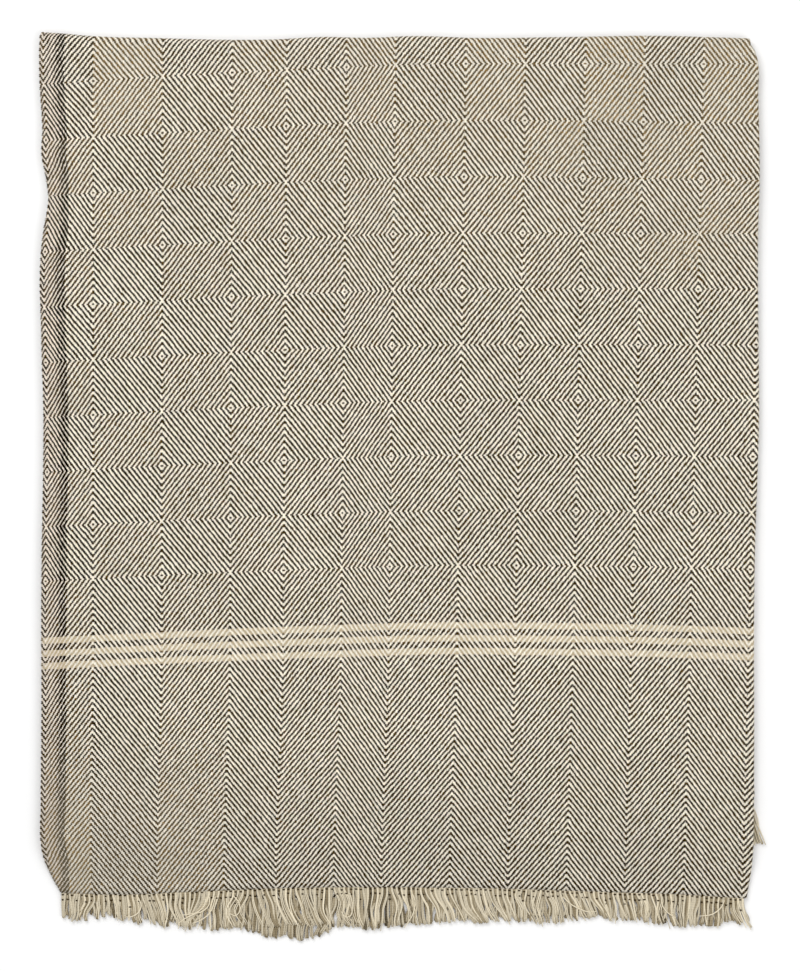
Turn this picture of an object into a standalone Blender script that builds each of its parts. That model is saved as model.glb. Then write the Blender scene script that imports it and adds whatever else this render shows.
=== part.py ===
"""Cotton blanket, folded in half twice and lying flat, with a loose fringe at both ends.

Metres, +Z up. The origin is at the middle of the underside, +Y points to the crosswise fold and +X to
the lengthwise fold. The cloth is folded lengthwise first, which makes a pair of layers joined at +X,
and then crosswise, which turns that pair over on itself at +Y: four layers, one piece of cloth.
"""
import math
import random
from collections import namedtuple

import bmesh
import bpy

# The folded cloth
FOLDED_WIDTH = 0.635
FOLDED_LENGTH = 0.760
LOWER_SHORTFALL = 0.080
CLOTH = 0.0016
LAYER_GAP = 0.0007
SIDE_FOLD_GAP = 0.0022
TOP_FOLD_GAP = 0.0024
FOLD_EASE = 0.045

# Where the upper half comes down to the floor, past the end of the lower half
DROP_START = 0.036
DROP_RUN = 0.038

# How finely the solid is divided
COLUMNS = 14
ARC_STEPS = 6

# Slow swelling of the stack, as a share of its height
SWELL = 0.10
SWELL_ACROSS = 0.31
SWELL_ALONG = 0.43
SWELL_FADE = 0.20

# The fringe
STRIP_GAP = 0.0003
STRIP_WIDTH = 0.0030
LOCK_ROOT = 0.0056
LOCK_TIP = 0.0042
LOCK_THICKNESS = 0.0013
RAISED_LOCK_REST = 0.0021
GROUP = 4
GROUP_PULL = 0.12
BEND = 1.3
TIP_JITTER = 0.0006
REACH_JITTER = 0.0025
SEED = 5

# Finish
CLOTH_COLOUR = (0.42, 0.37, 0.29)
FRINGE_COLOUR = (0.62, 0.56, 0.43)
COTTON_ROUGHNESS = 0.9
CREASE_ANGLE = math.radians(40)

LEFT = -FOLDED_WIDTH / 2
RIGHT = FOLDED_WIDTH / 2
TOP = FOLDED_LENGTH / 2
SIDE_RADIUS = CLOTH + SIDE_FOLD_GAP / 2

# Side edges of each half, a row for each section of the solid: distance down from the crosswise
# fold, and how far each edge lies inside its nominal line
Side = namedtuple("Side", "down left right")
UPPER_SIDES = (
    Side(0.000, -0.0020, 0.0055),
    Side(0.006, -0.0022, 0.0012),
    Side(0.014, -0.0025, -0.0008),
    Side(0.046, -0.0020, -0.0014),
    Side(0.082, 0.0002, -0.0022),
    Side(0.104, -0.0006, -0.0026),
    Side(0.124, 0.0030, -0.0026),
    Side(0.145, 0.0054, -0.0018),
    Side(0.165, 0.0022, -0.0010),
    Side(0.178, 0.0002, -0.0012),
    Side(0.270, -0.0008, -0.0018),
    Side(0.330, 0.0010, -0.0022),
    Side(0.390, 0.0008, -0.0006),
    Side(0.440, -0.0002, 0.0012),
    Side(0.520, -0.0008, 0.0024),
    Side(0.600, -0.0006, 0.0022),
    Side(0.680, -0.0012, 0.0024),
    Side(0.716, -0.0012, 0.0028),
    Side(0.726, 0.0004, 0.0034),
    Side(0.735, 0.0034, 0.0042),
    Side(0.744, 0.0074, 0.0054),
    Side(0.753, 0.0120, 0.0070),
    Side(0.760, 0.0165, 0.0082),
)
LOWER_SIDES = (
    Side(0.000, 0.0010, 0.0055),
    Side(0.006, 0.0010, 0.0025),
    Side(0.014, 0.0015, 0.0010),
    Side(0.046, 0.0020, 0.0010),
    Side(0.104, 0.0044, 0.0006),
    Side(0.145, 0.0075, 0.0006),
    Side(0.178, 0.0050, 0.0004),
    Side(0.270, 0.0020, 0.0004),
    Side(0.330, 0.0034, 0.0012),
    Side(0.440, 0.0030, 0.0030),
    Side(0.520, 0.0022, 0.0036),
    Side(0.600, 0.0024, 0.0038),
    Side(0.640, 0.0040, 0.0032),
    Side(0.680, 0.0060, 0.0010),
)
INNER_SELVEDGE_INSET = 0.0024

# The crosswise fold and the ends: share of the width from the selvedges, how far the line lies
# beyond its nominal place, towards +Y at the fold and towards -Y at the ends
Line = namedtuple("Line", "across beyond")
TOP_LINE = (
    Line(0.00, 0.0046), Line(0.03, 0.0034), Line(0.07, 0.0012), Line(0.16, -0.0006),
    Line(0.33, -0.0018), Line(0.40, 0.0004), Line(0.46, -0.0004), Line(0.53, 0.0012),
    Line(0.61, -0.0004), Line(0.75, 0.0004), Line(0.87, 0.0014), Line(1.00, -0.0010),
)
OUTER_END = (
    Line(0.00, 0.0016), Line(0.07, 0.0032), Line(0.21, 0.0000), Line(0.36, -0.0032),
    Line(0.50, -0.0034), Line(0.64, -0.0024), Line(0.78, 0.0004), Line(0.91, 0.0030),
    Line(1.00, 0.0062),
)
INNER_END = (
    Line(0.00, 0.0010), Line(0.14, 0.0016), Line(0.24, 0.0060), Line(0.33, 0.0085),
    Line(0.44, 0.0045), Line(0.56, -0.0010), Line(0.78, -0.0006), Line(0.91, 0.0020),
    Line(1.00, 0.0062),
)
LOWER_END = (
    Line(0.00, 0.0000), Line(0.20, 0.0030), Line(0.40, -0.0010), Line(0.60, 0.0010),
    Line(0.80, 0.0020), Line(1.00, -0.0040),
)

# The fringe's reach past the end of the cloth, and its lean towards +X, along the width
Hang = namedtuple("Hang", "across reach lean")
OUTER_HANG = (
    Hang(0.00, 0.0190, -0.0010), Hang(0.06, 0.0200, 0.0020), Hang(0.10, 0.0225, 0.0060),
    Hang(0.18, 0.0295, 0.0040), Hang(0.25, 0.0340, 0.0020), Hang(0.34, 0.0330, 0.0070),
    Hang(0.42, 0.0285, 0.0060), Hang(0.50, 0.0295, 0.0030), Hang(0.62, 0.0260, 0.0010),
    Hang(0.77, 0.0185, -0.0020), Hang(0.86, 0.0240, 0.0030), Hang(0.94, 0.0230, 0.0010),
    Hang(1.00, 0.0210, 0.0100),
)
INNER_HANG = (
    Hang(0.00, 0.0200, 0.0000), Hang(0.14, 0.0240, 0.0020), Hang(0.25, 0.0310, -0.0030),
    Hang(0.33, 0.0330, -0.0060), Hang(0.40, 0.0265, -0.0040), Hang(0.60, 0.0230, 0.0010),
    Hang(0.80, 0.0210, 0.0000), Hang(1.00, 0.0190, 0.0020),
)
LOWER_HANG = (
    Hang(0.00, 0.0280, 0.0000), Hang(0.30, 0.0310, 0.0020), Hang(0.60, 0.0290, -0.0020),
    Hang(0.90, 0.0310, 0.0020), Hang(1.00, 0.0440, 0.0110),
)

# One row for each layer's fringe: its end of the cloth, how its fringe hangs, how many locks it has,
# the steps in each lock and the height at which they rest
Layer = namedtuple("Layer", "end hang locks steps rest")
UPPER_OUTER = Layer(OUTER_END, OUTER_HANG, 96, 3, RAISED_LOCK_REST)
UPPER_INNER = Layer(INNER_END, INNER_HANG, 72, 2, 0.0)
LOWER_OUTER = Layer(LOWER_END, LOWER_HANG, 44, 2, 0.0)
LOWER_INNER = Layer(LOWER_END, LOWER_HANG, 44, 2, RAISED_LOCK_REST)

Half = namedtuple("Half", "sides length outer inner turned_over")
UPPER = Half(UPPER_SIDES, FOLDED_LENGTH, UPPER_OUTER, UPPER_INNER, True)
LOWER = Half(LOWER_SIDES, FOLDED_LENGTH - LOWER_SHORTFALL, LOWER_OUTER, LOWER_INNER, False)

Point = namedtuple("Point", "across x height layer")


def ease(value):
    """0 to 1 with soft ends."""
    value = min(max(value, 0.0), 1.0)
    return value * value * (3 - 2 * value)


def look_up(rows, place, column):
    """A column's value at a place along the table's first column, straight between its rows."""
    for before, after in zip(rows, rows[1:]):
        if place <= after[0]:
            share = (place - before[0]) / (after[0] - before[0])
            return (1 - share) * getattr(before, column) + share * getattr(after, column)
    return getattr(rows[-1], column)


def line_at(rows, across):
    """How far a line lies beyond its nominal place, straight between the solid's columns."""
    column = min(int(across * COLUMNS), COLUMNS - 1)
    share = across * COLUMNS - column
    start = look_up(rows, column / COLUMNS, "beyond")
    end = look_up(rows, (column + 1) / COLUMNS, "beyond")
    return start + share * (end - start)


def pair_thickness(across):
    """Two layers and the gap between them, which opens towards the lengthwise fold."""
    opening = ease(1 - (1 - across) * FOLDED_WIDTH / FOLD_EASE)
    return 2 * CLOTH + LAYER_GAP + (SIDE_FOLD_GAP - LAYER_GAP) * opening


def halves_gap(y):
    """Gap between the two halves, which opens towards the crosswise fold."""
    return LAYER_GAP + (TOP_FOLD_GAP - LAYER_GAP) * ease(1 - (TOP - y) / FOLD_EASE)


def upper_floor(across, y):
    """Height that the upper half lies on: the lower half, then its fringe, then the floor."""
    drop_from = TOP - LOWER.length - DROP_START
    on_lower = pair_thickness(across) + halves_gap(y)
    return on_lower * (1 - ease((drop_from - y) / DROP_RUN))


def swell(across, down):
    """Slow unevenness of the stack's height, none at the crosswise fold and past the lower end."""
    wave = math.sin(math.tau * across / SWELL_ACROSS) * math.sin(math.tau * down / SWELL_ALONG)
    return 1 + SWELL * wave * ease((LOWER.length - down) / SWELL_FADE)


def pair_section(half, down, outer_shares, inner_shares):
    """Outside and inside lines of a half's section: from the outer layer's selvedge, around the
    lengthwise fold, to the inner layer's selvedge. Heights are from the outer layer's face."""
    outer_left = LEFT + look_up(half.sides, down, "left")
    inner_left = outer_left + INNER_SELVEDGE_INSET
    turn = RIGHT - look_up(half.sides, down, "right") - SIDE_RADIUS
    outside, inside = [], []
    for across in outer_shares:
        x = outer_left + across * (turn - outer_left)
        outside.append(Point(across, x, 0.0, half.outer))
        inside.append(Point(across, x, CLOTH, half.outer))
    for step in range(1, ARC_STEPS):
        angle = math.pi * step / ARC_STEPS
        for line, radius in ((outside, SIDE_RADIUS), (inside, SIDE_RADIUS - CLOTH)):
            height = SIDE_RADIUS - radius * math.cos(angle)
            line.append(Point(1.0, turn + radius * math.sin(angle), height, half.inner))
    for across in reversed(inner_shares):
        x = inner_left + across * (turn - inner_left)
        outside.append(Point(across, x, pair_thickness(across), half.inner))
        inside.append(Point(across, x, pair_thickness(across) - CLOTH, half.inner))
    return outside, inside


def column_section(half, down):
    """The section as one closed loop of points, at the solid's own columns."""
    shares = [step / COLUMNS for step in range(COLUMNS + 1)]
    outside, inside = pair_section(half, down, shares, shares)
    return outside + inside[::-1]


def fold_axis(across):
    """The crosswise fold's axis at a place on the width: y and height."""
    height = pair_thickness(across) + TOP_FOLD_GAP / 2
    return TOP + line_at(TOP_LINE, across) - height, height


def half_ring(half, down):
    """A section of a half, down from the crosswise fold, in place."""
    ring = []
    for point in column_section(half, down):
        start, _ = fold_axis(point.across)
        end = TOP - half.length - line_at(point.layer.end, point.across)
        y = start + (end - start) * down / half.length
        z = point.height
        if half.turned_over:
            z = upper_floor(point.across, y) + pair_thickness(point.across) - point.height
        ring.append((point.x, y, z * swell(point.across, down)))
    return ring


def fold_ring(turned):
    """A section of the crosswise fold: turned is 0 where it leaves the lower half and 1 at the upper."""
    angle = math.pi * (turned - 0.5)
    ring = []
    for lower, upper in zip(column_section(LOWER, 0.0), column_section(UPPER, 0.0)):
        axis_y, axis_height = fold_axis(lower.across)
        radius = axis_height - lower.height
        x = lower.x + turned * (upper.x - lower.x)
        ring.append((x, axis_y + radius * math.cos(angle), axis_height + radius * math.sin(angle)))
    return ring


def new_object(name, bm, colour):
    """A named object of its own cotton from a closed mesh."""
    bmesh.ops.recalc_face_normals(bm, faces=bm.faces)
    mesh = bpy.data.meshes.new(name)
    bm.to_mesh(mesh)
    bm.free()
    material = bpy.data.materials.new(name + "_cotton")
    material.use_nodes = True
    shader = material.node_tree.nodes["Principled BSDF"]
    shader.inputs["Base Color"].default_value = (*colour, 1.0)
    shader.inputs["Roughness"].default_value = COTTON_ROUGHNESS
    shader.inputs["Metallic"].default_value = 0.0
    mesh.materials.append(material)
    mesh.shade_smooth()
    mesh.set_sharp_from_angle(angle=CREASE_ANGLE)
    piece = bpy.data.objects.new(name, mesh)
    bpy.context.scene.collection.objects.link(piece)
    return piece


def make_blanket():
    """The whole cloth: a strip that turns at the lengthwise fold, swept over the crosswise fold."""
    sections = [half_ring(LOWER, side.down) for side in LOWER.sides[:0:-1]]
    sections += [fold_ring(step / ARC_STEPS) for step in range(ARC_STEPS + 1)]
    sections += [half_ring(UPPER, side.down) for side in UPPER.sides[1:]]
    bm = bmesh.new()
    rings = [[bm.verts.new(point) for point in section] for section in sections]
    for ring, following in zip(rings, rings[1:]):
        for step, corner in enumerate(ring):
            bm.faces.new((ring[step - 1], corner, following[step], following[step - 1]))
    for ring in (rings[0], rings[-1]):
        for step in range(len(ring) // 2 - 1):
            bm.faces.new((ring[step], ring[step + 1], ring[-2 - step], ring[-1 - step]))
    return new_object("blanket", bm, CLOTH_COLOUR)


def strip_shares(layer):
    """Where a layer's strip is divided, as shares of the width: its ends and its locks' edges."""
    reach = LOCK_ROOT / FOLDED_WIDTH / 2
    middles = [(step + 0.5) / layer.locks for step in range(layer.locks)]
    return [0.0] + [edge for middle in middles for edge in (middle - reach, middle + reach)] + [1.0]


def strip_corners(half, out_point, in_point):
    """A strip's corners at one place: back and front of the outside face, then of the inside face."""
    corners = []
    back = TOP - half.length - line_at(out_point.layer.end, out_point.across) - STRIP_GAP
    for point in (out_point, in_point):
        z = pair_thickness(point.across) - point.height if half.turned_over else point.height
        corners += [(point.x, back, z), (point.x, back - STRIP_WIDTH, z)]
    return corners


def grow_lock(bm, root, layer, number, draw):
    """Draws a root's face out into a lock that rests level, leans and gathers into its group."""
    across = (number + 0.5) / layer.locks
    pitch = FOLDED_WIDTH / layer.locks
    from_group = (number % GROUP - (GROUP - 1) / 2) * pitch
    lean = look_up(layer.hang, across, "lean") - GROUP_PULL * from_group + draw.uniform(-1, 1) * TIP_JITTER
    reach = look_up(layer.hang, across, "reach") + draw.uniform(-1, 1) * REACH_JITTER
    middle = root.calc_center_median()
    face = root
    for step in range(1, layer.steps + 1):
        share = step / layer.steps
        half_width = (LOCK_ROOT + (LOCK_TIP - LOCK_ROOT) * share) / 2
        x = middle.x + lean * share ** BEND
        centre = face.calc_center_median()
        face = bmesh.ops.extrude_discrete_faces(bm, faces=[face])["faces"][0]
        for corner in face.verts:
            upper = corner.co.z > centre.z
            corner.co.x = x + (half_width if corner.co.x > centre.x else -half_width)
            corner.co.y = middle.y - reach * share
            corner.co.z = layer.rest + (LOCK_THICKNESS if upper else 0.0)


def make_fringe(name, half):
    """One end's fringe: a narrow strip just past the cloth's end, with a lock on every other face."""
    outside, inside = pair_section(half, half.length, strip_shares(half.outer), strip_shares(half.inner))
    bm = bmesh.new()
    places = [[bm.verts.new(corner) for corner in strip_corners(half, *pair)]
              for pair in zip(outside, inside)]
    fronts = []
    for before, after in zip(places, places[1:]):
        for first, second in ((0, 1), (2, 0), (3, 2)):
            bm.faces.new((before[first], before[second], after[second], after[first]))
        fronts.append(bm.faces.new((before[1], before[3], after[3], after[1])))
    for end in (places[0], places[-1]):
        bm.faces.new((end[0], end[1], end[3], end[2]))
    draw = random.Random(SEED)
    for layer, from_selvedge in ((half.outer, fronts), (half.inner, fronts[::-1])):
        for number in range(layer.locks):
            grow_lock(bm, from_selvedge[2 * number + 1], layer, number, draw)
    return new_object(name, bm, FRINGE_COLOUR)


for leftover in list(bpy.data.objects):
    bpy.data.objects.remove(leftover, do_unlink=True)
make_blanket()
make_fringe("fringe_upper", UPPER)
make_fringe("fringe_lower", LOWER)
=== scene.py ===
"""Looks of the folded cotton blanket: the cloth as a thin sheet on its solid's folds, its point twill,
the turns of its weft along the selvedges, and a fringe of single yarns at both ends.

Metres, +Z up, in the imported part's frame: +Y points to the crosswise fold, +X to the lengthwise fold.
"""
import math
import random
from collections import namedtuple

import bpy
import numpy as np
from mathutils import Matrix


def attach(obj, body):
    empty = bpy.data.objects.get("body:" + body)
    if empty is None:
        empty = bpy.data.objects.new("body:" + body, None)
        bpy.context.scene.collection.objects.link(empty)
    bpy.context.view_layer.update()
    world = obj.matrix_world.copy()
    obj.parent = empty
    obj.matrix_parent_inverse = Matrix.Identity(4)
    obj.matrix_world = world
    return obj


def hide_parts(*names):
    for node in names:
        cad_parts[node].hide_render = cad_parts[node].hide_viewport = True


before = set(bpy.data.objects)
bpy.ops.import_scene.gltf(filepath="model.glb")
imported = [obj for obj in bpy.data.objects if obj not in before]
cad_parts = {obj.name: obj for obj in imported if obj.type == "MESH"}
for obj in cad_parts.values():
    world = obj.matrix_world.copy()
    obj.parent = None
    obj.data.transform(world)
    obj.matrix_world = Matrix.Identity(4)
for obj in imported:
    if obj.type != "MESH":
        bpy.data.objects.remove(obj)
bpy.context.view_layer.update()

# The folded cloth, as in the part's solid
FOLDED_WIDTH = 0.635
FOLDED_LENGTH = 0.760
LOWER_LENGTH = 0.680
LAYER = 0.0016
LAYER_GAP = 0.0007
SIDE_FOLD_GAP = 0.0022
TOP_FOLD_GAP = 0.0024
FOLD_EASE = 0.045
DROP_START = 0.036
DROP_RUN = 0.038
SWELL = 0.10
SWELL_ACROSS = 0.31
SWELL_ALONG = 0.43
SWELL_FADE = 0.20
INNER_SELVEDGE_INSET = 0.0024
WAVES_START = 0.03

LEFT = -FOLDED_WIDTH / 2
RIGHT = FOLDED_WIDTH / 2
TOP = FOLDED_LENGTH / 2
SIDE_RADIUS = LAYER + SIDE_FOLD_GAP / 2

# The sheet before it was folded, without its fringe
SHEET_THICKNESS = 0.0013

# How finely the sheet is divided
OUTER_COLUMNS = 118
INNER_COLUMNS = 56
UPPER_ROWS = 142
LOWER_ROWS = 64
ARC_STEPS = 10

# Side edges: distance down from the crosswise fold, and how far the edge lies inside its nominal line
UPPER_LEFT = (
    (0.000, -0.0020), (0.014, -0.0025), (0.046, -0.0020), (0.082, 0.0002), (0.104, -0.0006),
    (0.124, 0.0030), (0.145, 0.0054), (0.165, 0.0022), (0.178, 0.0002), (0.270, -0.0008),
    (0.330, 0.0010), (0.390, 0.0008), (0.440, -0.0002), (0.520, -0.0008), (0.600, -0.0006),
    (0.680, -0.0012), (0.716, -0.0012), (0.726, 0.0004), (0.735, 0.0034), (0.744, 0.0074),
    (0.753, 0.0120), (0.760, 0.0165),
)
UPPER_RIGHT = (
    (0.000, 0.0055), (0.006, 0.0012), (0.014, -0.0008), (0.046, -0.0014), (0.082, -0.0022),
    (0.104, -0.0026), (0.124, -0.0026), (0.145, -0.0018), (0.178, -0.0012), (0.270, -0.0018),
    (0.330, -0.0022), (0.390, -0.0006), (0.440, 0.0012), (0.520, 0.0024), (0.600, 0.0022),
    (0.680, 0.0024), (0.716, 0.0028), (0.735, 0.0042), (0.753, 0.0070), (0.760, 0.0082),
)
LOWER_LEFT = (
    (0.000, 0.0010), (0.046, 0.0020), (0.104, 0.0044), (0.145, 0.0075), (0.178, 0.0050),
    (0.270, 0.0020), (0.330, 0.0034), (0.440, 0.0030), (0.520, 0.0022), (0.600, 0.0024),
    (0.640, 0.0040), (0.680, 0.0060),
)
LOWER_RIGHT = (
    (0.000, 0.0055), (0.006, 0.0025), (0.014, 0.0010), (0.104, 0.0006), (0.270, 0.0004),
    (0.330, 0.0012), (0.440, 0.0030), (0.600, 0.0038), (0.640, 0.0032), (0.680, 0.0010),
)

# The crosswise fold and the ends: share of the width from the selvedges, how far the line lies
# beyond its nominal place, towards +Y at the fold and towards -Y at the ends
TOP_LINE = (
    (0.00, 0.0046), (0.03, 0.0034), (0.07, 0.0012), (0.16, -0.0006), (0.33, -0.0018), (0.40, 0.0004),
    (0.46, -0.0004), (0.53, 0.0012), (0.61, -0.0004), (0.75, 0.0004), (0.87, 0.0014), (1.00, -0.0010),
)
OUTER_END = (
    (0.00, 0.0016), (0.07, 0.0032), (0.21, 0.0000), (0.36, -0.0032), (0.50, -0.0034),
    (0.64, -0.0024), (0.78, 0.0004), (0.91, 0.0030), (1.00, 0.0062),
)
INNER_END = (
    (0.00, 0.0010), (0.14, 0.0016), (0.24, 0.0060), (0.33, 0.0085), (0.44, 0.0045),
    (0.56, -0.0010), (0.78, -0.0006), (0.91, 0.0020), (1.00, 0.0062),
)
LOWER_END = (
    (0.00, 0.0000), (0.20, 0.0030), (0.40, -0.0010), (0.60, 0.0010), (0.80, 0.0020), (1.00, -0.0040),
)

# Thread counts. Ends are counted from the outer selvedge, picks from the upper hem. The draft is the
# same from both selvedges and from both hems.
MIDDLE_END = 568
MIDDLE_PICK = 512
ROW_PICKS = 34
TENTH_ROW_PICK = 206
STRIPE_PICK = 151
HOOK_END = 4
DENSE_ENDS = 24

# The diamond columns: the end of each axis, as a chart. The ends lie evenly, but for one closer band,
# up to the last axis by the lengthwise fold.
COLUMN_ENDS = (46, 100, 154, 196, 242, 284, 338, 384, 430, 476, 522, 568)
LAST_COLUMN = 0.3125
SPACING = 0.00113
CLOSE_ENDS = (242, 284)
CLOSE_SPACING = 0.00101

# The columns slope towards the lengthwise fold as they rise, more the nearer they lie to it, and stand
# at their even places at one height. By the hem they are also pulled towards the selvedges.
LEAN = 0.0245
LEAN_HEIGHT = -0.054
HEM_PULL = 0.034
PULL_FROM = -0.17
PULL_RUN = 0.20

# The width of the dense selvedge band, and the furthest inside its nominal line that it starts
DENSE_EDGE = 0.0209
MOST_SELVEDGE_INSET = 0.0015

# The lines of picks: the tenth row's Y at the crest, the spacing of picks there, and the share by which
# the mean spacing from that row grows with each pick. The lines fall to both sides of the crest. The
# fall towards the selvedges grows with each pick, and the one towards the lengthwise fold is there
# below the level pick and in one sag above it.
TENTH_ROW_Y = -0.0898
PICK_SPACING = 0.00143
SPACING_GROWTH = 0.000061
CREST = 0.045
LEFT_FALL = 0.0143
LEFT_GROWTH = 0.0009
LEFT_POWER = 1.35
RIGHT_FALL = 0.0086
LEVEL_PICK = 300
LEVEL_RUN = 220
SAG = 0.0038
SAG_PICK = 456
SAG_PICKS = 40
LOWEST_LINE = 104
LINE_PICKS = range(LOWEST_LINE, MIDDLE_PICK + 1, ROW_PICKS)

# Stripes: blocks of picks, cream and plain in turn
STRIPE_BLOCK = 4
STRIPE_BLOCKS = 5

# Where the cloth is fluffed up and its pattern softer. Patches: middle end and pick, reach in ends and
# picks. Towards the crosswise fold and at the lower selvedge corner: from and to these ends and picks.
FLUFFED = ((67, 500, 40, 16), (446, 470, 45, 26), (516, 410, 40, 26))
PATCH_FLUFF = 0.35
TOP_FLUFF_PICKS = (330.0, 520.0)
TOP_FLUFF = (0.25, 0.8)
CORNER_PICKS = (0.0, 130.0)
CORNER_ENDS = (30.0, 230.0)

# Soft rises and dips of the upper half: middle, reach along and across, turn in degrees, height
Wave = namedtuple("Wave", "x y along across turn height")
WAVES = (
    Wave(-0.255, 0.235, 0.060, 0.020, 20, 0.0012),
    Wave(-0.290, 0.245, 0.030, 0.012, -10, -0.0005),
    Wave(-0.120, 0.300, 0.120, 0.035, 8, 0.0007),
    Wave(0.090, 0.210, 0.150, 0.030, -24, 0.0009),
    Wave(0.235, 0.190, 0.080, 0.040, 62, 0.0010),
    Wave(0.180, 0.320, 0.110, 0.030, 4, 0.0008),
    Wave(-0.200, 0.060, 0.130, 0.034, 78, 0.0006),
    Wave(0.020, -0.020, 0.160, 0.045, 12, 0.0008),
    Wave(0.220, -0.110, 0.120, 0.030, -70, 0.0007),
    Wave(-0.090, -0.190, 0.140, 0.040, -16, 0.0009),
    Wave(0.130, -0.260, 0.100, 0.028, 30, 0.0008),
    Wave(-0.270, -0.280, 0.070, 0.022, 84, 0.0007),
    Wave(0.285, -0.300, 0.070, 0.022, 88, 0.0008),
)

# Colours, linear
WARP_CREAM = (0.860, 0.798, 0.672)
STRIPE_CREAM = (0.480, 0.395, 0.260)
WEFT_BROWN = (0.034, 0.019, 0.004)
FLUFFED_WEFT = (0.300, 0.265, 0.175)
SELVEDGE_WARP = (0.800, 0.715, 0.605)
FRINGE_CREAM = (0.700, 0.628, 0.480)
# Painted shadow: the brown that the fringe's darkest yarns turn towards
FRINGE_SHADOW_BROWN = (0.680, 0.545, 0.330)
FLOOR_WHITE = (0.93, 0.93, 0.93)

YARN_ROUGHNESS = 0.95
YARN_SPECULAR = 0.02

# How the weave's threads wander and differ in thickness, in threads. Rates say how quickly a noise
# changes: for each end and pick, or for each thread and along it.
WANDER = 0.8
WANDER_RATES = (0.10, 0.08)
THICKNESS_SPREAD = 0.7
THICKNESS_RATES = (0.55, 0.006)
WEFT_SLUB_RATES = (0.16, 7.3)
WARP_SLUB_RATES = (5.7, 0.14)
BROAD_RATES = (0.012, 0.015)

# How far the weft's floats reach into the twill's repeat, and what widens and narrows them
FLOAT_REACH = 0.98
WEFT_SLUB_REACH = 0.9
WARP_SLUB_REACH = -0.6
CHANCE_REACH = 0.5
BOLD_REACH = 0.45

# Ends over which the floats grow bold beside the dense band's edge, and those over which the painted light
# and shade that set the twill's two slants apart fade to their least share
BOLD_ENDS = (11.0, 21.0)
SLANT_SHADE_ENDS = (30.0, 300.0)
LEAST_SLANT_SHADE = 0.15

# Shades of the warp: least, as painted shade where the yarn dips, and gain with height, as painted light
# towards its crest; then spreads and changes
WARP_DIP_PAINTED_SHADE = 0.64
WARP_CREST_PAINTED_LIGHT = 0.42
WARP_SLUB_SHADE = 0.45
CHANCE_SHADE = 0.14
FLUFFED_SHADE = -0.14
# Painted light on the warp where the twill's lines fall towards the lengthwise fold, painted shade where they
# fall the other way
SLANT_PAINTED_SHADE_ON_WARP = 0.025

# Lightness of the weft: ranges by chance and by slub, then changes
CHANCE_LIFTS = (0.05, 1.75)
SLUB_LIFTS = (0.6, 1.7)
FLUFFED_LIFT = 1.7
# Painted shade on the weft where the twill's lines fall towards the lengthwise fold, painted light where they
# fall the other way
SLANT_PAINTED_SHADE_ON_WEFT = -0.45
BOLD_LIFT = -0.75
PALE_SHARE = 0.22
# Painted light and shade between the twill's slants, on the fluffed weft's paleness
SLANT_PAINTED_SHADE_ON_FLUFF = -0.10

# The whole cloth's tone: its broad spread, and painted shade that darkens it over the last picks
BROAD_TONE = 0.12
HEM_PICKS = (0.0, 130.0)
HEM_PAINTED_SHADES = (0.88, 0.98)

SEED = 11


def ease(value):
    """0 to 1 with soft ends."""
    value = np.clip(value, 0.0, 1.0)
    return value * value * (3 - 2 * value)


def along(rows, at):
    """Soft line through a table's rows of place and value."""
    places, values = np.array(rows, float).T
    slopes = np.gradient(values, places)
    at = np.clip(np.asarray(at, float), places[0], places[-1])
    step = np.clip(np.searchsorted(places, at) - 1, 0, len(places) - 2)
    span = places[step + 1] - places[step]
    share = (at - places[step]) / span
    turned = share * share * (3 - 2 * share)
    leaving = share * (1 - share) ** 2 * span * slopes[step]
    arriving = share ** 2 * (1 - share) * span * slopes[step + 1]
    return values[step] * (1 - turned) + values[step + 1] * turned + leaving - arriving


def pair_thickness(across):
    """Two layers and the gap between them, which opens towards the lengthwise fold."""
    opening = ease(1 - (1 - across) * FOLDED_WIDTH / FOLD_EASE)
    return 2 * LAYER + LAYER_GAP + (SIDE_FOLD_GAP - LAYER_GAP) * opening


def halves_gap(y):
    """Gap between the two halves, which opens towards the crosswise fold."""
    return LAYER_GAP + (TOP_FOLD_GAP - LAYER_GAP) * ease(1 - (TOP - y) / FOLD_EASE)


def upper_floor(across, y):
    """Height that the upper half lies on: the lower half, then its fringe, then the floor."""
    drop_from = TOP - LOWER_LENGTH - DROP_START
    on_lower = pair_thickness(across) + halves_gap(y)
    return on_lower * (1 - ease((drop_from - y) / DROP_RUN))


def swell(across, down):
    """Slow unevenness of the stack's height."""
    wave = np.sin(math.tau * across / SWELL_ACROSS) * np.sin(math.tau * down / SWELL_ALONG)
    return 1 + SWELL * wave * ease((LOWER_LENGTH - down) / SWELL_FADE)


def wave_height(x, y):
    """Height of the soft rises and dips at a place."""
    total = np.zeros_like(x)
    for wave in WAVES:
        turn = math.radians(wave.turn)
        forward = (x - wave.x) * math.cos(turn) + (y - wave.y) * math.sin(turn)
        sideways = (y - wave.y) * math.cos(turn) - (x - wave.x) * math.sin(turn)
        total += wave.height * np.exp(-(forward / wave.along) ** 2 - (sideways / wave.across) ** 2)
    return total


def section_places():
    """The sheet's columns, from the outer selvedge around the lengthwise fold to the inner one:
    share across, turn around the fold from 0 to 1, and whether the column is in the inner layer."""
    outer = [(step / OUTER_COLUMNS, 0.0, 0.0) for step in range(OUTER_COLUMNS + 1)]
    arc = [(1.0, step / ARC_STEPS, 0.0) for step in range(1, ARC_STEPS)]
    inner = [(1 - step / INNER_COLUMNS, 1.0, 1.0) for step in range(INNER_COLUMNS + 1)]
    return np.array(outer + arc + inner).T


Half = namedtuple("Half", "left right length outer_end inner_end turned_over")
UPPER = Half(UPPER_LEFT, UPPER_RIGHT, FOLDED_LENGTH, OUTER_END, INNER_END, True)
LOWER = Half(LOWER_LEFT, LOWER_RIGHT, LOWER_LENGTH, LOWER_END, LOWER_END, False)


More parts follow.
